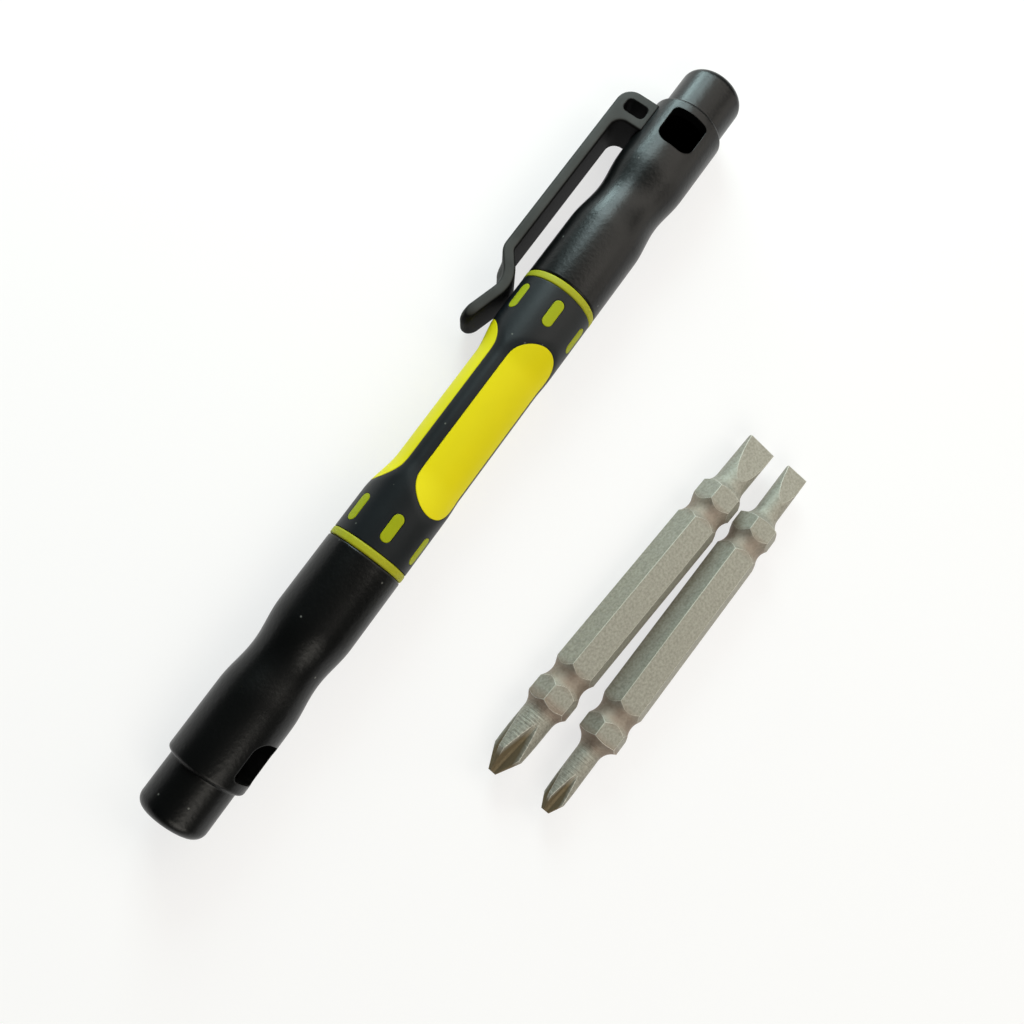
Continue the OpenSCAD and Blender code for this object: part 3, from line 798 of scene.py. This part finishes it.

# %% [markdown]
# ## Blasted steel for the bits
# The bits are turned and ground from hexagon bar, hardened and blasted with fine grit. Blasting gives a
# dull, even grey that scatters light, with thin bright edges where the bits rub together. A grey film is
# left on it, so it is not quite all metal. The necks and the blend behind the cross point's collar keep a
# brown heat tint that is also painted darker, as painted shade in those hollows. The shanks of the cross
# points show rings from the lathe, and the flutes stay dark. A Mapping node lays the pattern along each bit,
# so most zones are plain distances from its middle, and the flutes are found by their distance from its
# axis.
# The frame's solids already have the right shape, so they stay and only get this finish.

# %% Zones of a bit in millimetres, and the stretch of its rings
BIT_HALF = 32.5
SHANK_AT = 19.4
ZONE_FADE = 1
NECK_AT = 16.45
NECKS_MIDDLE = 1
NECK_FADE = (2.2, 0.8)
BLEND_AT = 20.6
BLEND_FADE = (1.8, 0.6)
RING_STRETCH = (1, 0.12, 0.12)
print("heat tints at", round(NECKS_MIDDLE - NECK_AT, 2), "and", NECKS_MIDDLE + NECK_AT, "mm")


# %% Bits finish
def blasted_steel(name, bit, turn, flute_len, point_r):
    """Steel for one bit, by its turn on the table in degrees and its cross point's sizes in millimetres."""
    finish, tree = new_finish(name)
    low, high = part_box(bit)
    aim = math.radians(turn)
    from_object = add(tree, "ShaderNodeTexCoord").outputs["Object"]
    true_normal = add(tree, "ShaderNodeNewGeometry").outputs["Normal"]
    laid = add(tree, "ShaderNodeMapping", {"Vector": from_object, "Location": (low + high) / 2,
                                           "Rotation": (0, 0, -aim)}, vector_type="TEXTURE")
    place = laid.outputs["Vector"]
    along = add(tree, "ShaderNodeSeparateXYZ", {0: place}).outputs["X"]

    # Grit from the blasting, larger clouds, and lathe rings: noise that is stretched round the bit
    grit = add(tree, "ShaderNodeTexNoise", {"Vector": place, "Scale": grain(0.4), "Detail": 3})
    cloud = add(tree, "ShaderNodeTexNoise", {"Vector": place, "Scale": grain(4), "Detail": 4})
    squashed = add(tree, "ShaderNodeVectorMath", {0: place, 1: RING_STRETCH}, operation="MULTIPLY")
    rings = add(tree, "ShaderNodeTexNoise", {"Vector": squashed.outputs[0], "Scale": grain(0.35),
                                             "Detail": 2})

    # The shank and the flutes of the cross point, which lies at the low end
    shank = add(tree, "ShaderNodeMapRange", {"Value": along, "From Min": -SHANK_AT * MM,
                                             "From Max": -(SHANK_AT + ZONE_FADE) * MM})
    flute_from = flute_len - BIT_HALF
    fluted = add(tree, "ShaderNodeMapRange", {"Value": along, "From Min": flute_from * MM,
                                              "From Max": (flute_from - ZONE_FADE) * MM})

    # Heat tint and painted shade: on both necks, and at the blend behind the cross point's collar, a brown
    # that is darker than the steel, as painted shade in these hollows
    off_middle = add(tree, "ShaderNodeMath", {0: along, 1: NECKS_MIDDLE * MM}, operation="SUBTRACT")
    off_middle = add(tree, "ShaderNodeMath", {0: off_middle.outputs[0]}, operation="ABSOLUTE")
    off_neck = add(tree, "ShaderNodeMath", {0: off_middle.outputs[0], 1: NECK_AT * MM},
                   operation="SUBTRACT")
    off_neck = add(tree, "ShaderNodeMath", {0: off_neck.outputs[0]}, operation="ABSOLUTE")
    neck = add(tree, "ShaderNodeMapRange", {"Value": off_neck.outputs[0], "From Min": NECK_FADE[0] * MM,
                                            "From Max": NECK_FADE[1] * MM, "To Max": 0.8})
    off_blend = add(tree, "ShaderNodeMath", {0: along, 1: BLEND_AT * MM}, operation="ADD")
    off_blend = add(tree, "ShaderNodeMath", {0: off_blend.outputs[0]}, operation="ABSOLUTE")
    blend = add(tree, "ShaderNodeMapRange", {"Value": off_blend.outputs[0], "From Min": BLEND_FADE[0] * MM,
                                             "From Max": BLEND_FADE[1] * MM, "To Max": 0.9})
    heat_tint_and_painted_shade = add(tree, "ShaderNodeMath", {0: neck.outputs["Result"], 1: blend.outputs["Result"]},
               operation="MAXIMUM")
    heat_tint_and_painted_shade = add(tree, "ShaderNodeMath", {0: heat_tint_and_painted_shade.outputs[0], 1: cloud.outputs["Fac"]},
               operation="MULTIPLY")

    # Flutes and the point's cone: where the surface lies nearer to the axis than the shank does
    spoke = add(tree, "ShaderNodeVectorMath", {0: place, 1: (0, 1, 1)}, operation="MULTIPLY")
    spoke = add(tree, "ShaderNodeVectorMath", {0: spoke.outputs[0]}, operation="LENGTH")
    deep = add(tree, "ShaderNodeMapRange", {"Value": spoke.outputs["Value"],
                                            "From Min": 0.97 * point_r * MM,
                                            "From Max": 0.75 * point_r * MM})
    dark = add(tree, "ShaderNodeMath", {0: deep.outputs["Result"], 1: fluted.outputs["Result"]},
               operation="MULTIPLY")

    # Edges that rub bright
    soft_edge = add(tree, "ShaderNodeBevel", {"Radius": 0.16 * MM}, samples=6)
    facing = add(tree, "ShaderNodeVectorMath", {0: soft_edge.outputs["Normal"], 1: true_normal},
                 operation="DOT_PRODUCT")
    worn_and_painted_light = add(tree, "ShaderNodeMapRange", {"Value": facing.outputs["Value"], "From Min": 0.998,
                                            "From Max": 0.93})

    # Colours, one over the other
    speckle = add(tree, "ShaderNodeMapRange", {"Value": grit.outputs["Fac"], "From Min": 0.3,
                                               "From Max": 0.7})
    tint = add(tree, "ShaderNodeMix", {"Factor": speckle.outputs["Result"], "A": linear("#98968b"),
                                       "B": linear("#b8b6ab")}, data_type="RGBA")
    # heat tint: brown, and darker as painted shade in the necks and at the blend
    tint = add(tree, "ShaderNodeMix", {"Factor": heat_tint_and_painted_shade.outputs[0], "A": tint.outputs["Result"],
                                       "B": linear("#8a6a58")}, data_type="RGBA")
    tint = add(tree, "ShaderNodeMix", {"Factor": worn_and_painted_light.outputs["Result"], "A": tint.outputs["Result"],
                                       "B": linear("#e4e2d8")}, data_type="RGBA")
    tint = add(tree, "ShaderNodeMix", {"Factor": dark.outputs[0], "A": tint.outputs["Result"],
                                       "B": linear("#7d7159")}, data_type="RGBA")
    rough = add(tree, "ShaderNodeMapRange", {"Value": speckle.outputs["Result"], "To Min": 0.62,
                                             "To Max": 0.74})

    # Relief: pits from the grit, and the lathe's rings outside the flutes
    turned_skin = add(tree, "ShaderNodeMath", {0: shank.outputs["Result"], 1: dark.outputs[0]},
                      operation="SUBTRACT", use_clamp=True)
    ring_depth = add(tree, "ShaderNodeMath", {0: rings.outputs["Fac"], 1: turned_skin.outputs[0]},
                     operation="MULTIPLY")
    pitted = add(tree, "ShaderNodeBump", {"Height": grit.outputs["Fac"], "Strength": 0.3,
                                          "Distance": 0.03 * MM, "Normal": soft_edge.outputs["Normal"]})
    bump = add(tree, "ShaderNodeBump", {"Height": ring_depth.outputs[0], "Strength": 1,
                                        "Distance": 0.12 * MM, "Normal": pitted.outputs["Normal"]})
    shader = add(tree, "ShaderNodeBsdfPrincipled", {
        "Base Color": tint.outputs["Result"], "Metallic": 0.85, "Roughness": rough.outputs["Result"],
        "Normal": bump.outputs["Normal"]})
    add(tree, "ShaderNodeOutputMaterial", {"Surface": shader.outputs["BSDF"]})
    return finish


large_steel = blasted_steel("large_bit_blasted_steel", "large_bit", turn=5.5, flute_len=9.3, point_r=2.6)
small_steel = blasted_steel("small_bit_blasted_steel", "small_bit", turn=3.3, flute_len=6.9, point_r=1.85)
dress(nodes["large_bit"], large_steel)
dress(nodes["small_bit"], small_steel)

# %% [markdown]
# ## Sleeves and magnet
# Inside the core sit two drawn steel sleeves and a nickel-plated magnet. They show only when a cap is off.
# Drawing leaves fine lines along the pen, so the noise is stretched in that direction. Plating is
# brighter, with faint specks that run no way in particular.


# %% Finishes of the inner pieces
def bright_metal(name, shade, other_shade, stretch, roughness):
    finish, tree = new_finish(name)
    place = add(tree, "ShaderNodeTexCoord").outputs["Object"]
    drawn = add(tree, "ShaderNodeVectorMath", {0: place, 1: (stretch, 1, 1)}, operation="MULTIPLY")
    lines = add(tree, "ShaderNodeTexNoise", {"Vector": drawn.outputs[0], "Scale": grain(0.3), "Detail": 3})
    tint = add(tree, "ShaderNodeMix", {"Factor": lines.outputs["Fac"], "A": linear(shade),
                                       "B": linear(other_shade)}, data_type="RGBA")
    rough = add(tree, "ShaderNodeMapRange", {"Value": lines.outputs["Fac"], "To Min": roughness - 0.08,
                                             "To Max": roughness + 0.08})
    bump = add(tree, "ShaderNodeBump", {"Height": lines.outputs["Fac"], "Strength": 0.2,
                                        "Distance": 0.02 * MM})
    shader = add(tree, "ShaderNodeBsdfPrincipled", {
        "Base Color": tint.outputs["Result"], "Metallic": 1, "Roughness": rough.outputs["Result"],
        "Normal": bump.outputs["Normal"]})
    add(tree, "ShaderNodeOutputMaterial", {"Surface": shader.outputs["BSDF"]})
    return finish


drawn_steel = bright_metal("drawn_steel", "#a9a7a1", "#c3c1bb", stretch=0.05, roughness=0.34)
plating = bright_metal("nickel_plated_magnet", "#bfb9ad", "#d2cdc2", stretch=1, roughness=0.24)
dress(nodes["front_bit_sleeve"], drawn_steel)
dress(nodes["rear_bit_sleeve"], drawn_steel)
dress(nodes["bit_magnet"], plating)

# %% [markdown]
# ## Table
# The table is a plain white sheet. What the camera and the reflections see of it is mostly an even white
# of strength 1, mixed with real paper so that the pieces keep a faint shadow. It is wide enough to fill
# most of a low view too.

# %% Table
TABLE_SIZE = 8
TABLE_DROP = 0.05 * MM
EVEN_WHITE = 0.7
start()
bpy.ops.mesh.primitive_plane_add(size=TABLE_SIZE, location=(0, 0, -TABLE_DROP))
table = bpy.context.object
table.name = "white_table"
sheet, tree = new_finish("white_sheet")
ray = add(tree, "ShaderNodeLightPath").outputs
seen = add(tree, "ShaderNodeMath", {0: ray["Is Camera Ray"], 1: ray["Is Glossy Ray"]}, operation="ADD")
seen = add(tree, "ShaderNodeMath", {0: seen.outputs[0], 1: ray["Is Transmission Ray"]}, operation="ADD",
           use_clamp=True)
share = add(tree, "ShaderNodeMath", {0: seen.outputs[0], 1: EVEN_WHITE}, operation="MULTIPLY")
paper = add(tree, "ShaderNodeBsdfDiffuse", {"Color": linear("#fafaf8")})
white = add(tree, "ShaderNodeEmission", {"Color": (1, 1, 1, 1), "Strength": 1})
mixed = add(tree, "ShaderNodeMixShader", {0: share.outputs[0], 1: paper.outputs[0], 2: white.outputs[0]})
add(tree, "ShaderNodeOutputMaterial", {"Surface": mixed.outputs[0]})
dress(table, sheet)

# %% [markdown]
# ## Light
# Most light comes from beyond the clip end of the pen, as from windows. A small cool lamp on the clip's side
# draws the long highlight on the rear cap. A broad one, higher up, greys the top of that cap, and a low one
# on the bits' side lights its flank and the pad. A wide fill from the front evens out the yellow, and a
# small card lights the cap's end. Nothing hangs overhead, so the front cap stays black, and the world is
# dim. Each lamp is placed by a direction from the table's middle and a distance, and it faces that middle.


# %% Lamps and world
def lamp(name, way, distance, size, power, colour):
    """An area lamp that the camera doesn't see: distance and size in metres, power in watts."""
    light = bpy.data.lights.new(name, "AREA")
    light.shape = "RECTANGLE"
    light.size, light.size_y = size
    light.energy = power
    light.color = linear(colour)[:3]
    obj = bpy.data.objects.new(name, light)
    bpy.context.scene.collection.objects.link(obj)
    obj.visible_camera = False
    obj.location = Vector(way).normalized() * distance
    obj.rotation_euler = Vector(way).to_track_quat("Z", "Y").to_euler()
    print(name, "at", [round(c, 2) for c in obj.location])


lamp("near_window", (0.62, 0.6, 0.51), 0.353, (0.14, 0.14), 0.85, "#d6ebec")
lamp("far_window", (0.57, -0.14, 0.8), 0.75, (1.2, 0.4), 4, "#fff8ee")
lamp("room_fill", (-0.6, -0.45, 0.66), 0.75, (0.5, 0.5), 2.5, "#fffaf0")
lamp("side_window", (0.52, -0.79, 0.31), 0.75, (0.5, 0.36), 0.9, "#fff8ee")
lamp("end_card", (0.15, 0.14, 0.035), 0.21, (0.06, 0.04), 0.16, "#d0ebec")
world = bpy.context.scene.world or bpy.data.worlds.new("room")
bpy.context.scene.world = world
world.use_nodes = True
room = world.node_tree.nodes["Background"].inputs
room["Color"].default_value = linear("#e6e9ea")
room["Strength"].default_value = 0.03

# %% [markdown]
# ## Camera
# The camera hangs almost straight above the front half of the pen and is rolled, so that the pen crosses
# the picture from the lower left to the upper right.

# %% Camera
CAMERA_FROM_PEN = Vector((-34.5, 7.38, 147.82)) * MM
TARGET_FROM_PEN = Vector((-4.9, -13.83, 0)) * MM
CAMERA_ROLL = math.radians(72.28)
CAMERA_LENS = 35.6
CAMERA_SENSOR = 36
pen_foot = Vector((0, axis.y, 0))
data = bpy.data.cameras.new("camera")
data.lens = CAMERA_LENS
data.sensor_width = CAMERA_SENSOR
data.clip_start = MM
camera = bpy.data.objects.new("camera", data)
bpy.context.scene.collection.objects.link(camera)
camera.location = pen_foot + CAMERA_FROM_PEN
sight = (TARGET_FROM_PEN - CAMERA_FROM_PEN).to_track_quat("-Z", "Y")
camera.rotation_euler = (sight @ Quaternion((0, 0, 1), CAMERA_ROLL)).to_euler()
bpy.context.scene.camera = camera
bpy.context.scene.view_settings.view_transform = "Standard"
print("camera at", [round(c, 4) for c in camera.location])
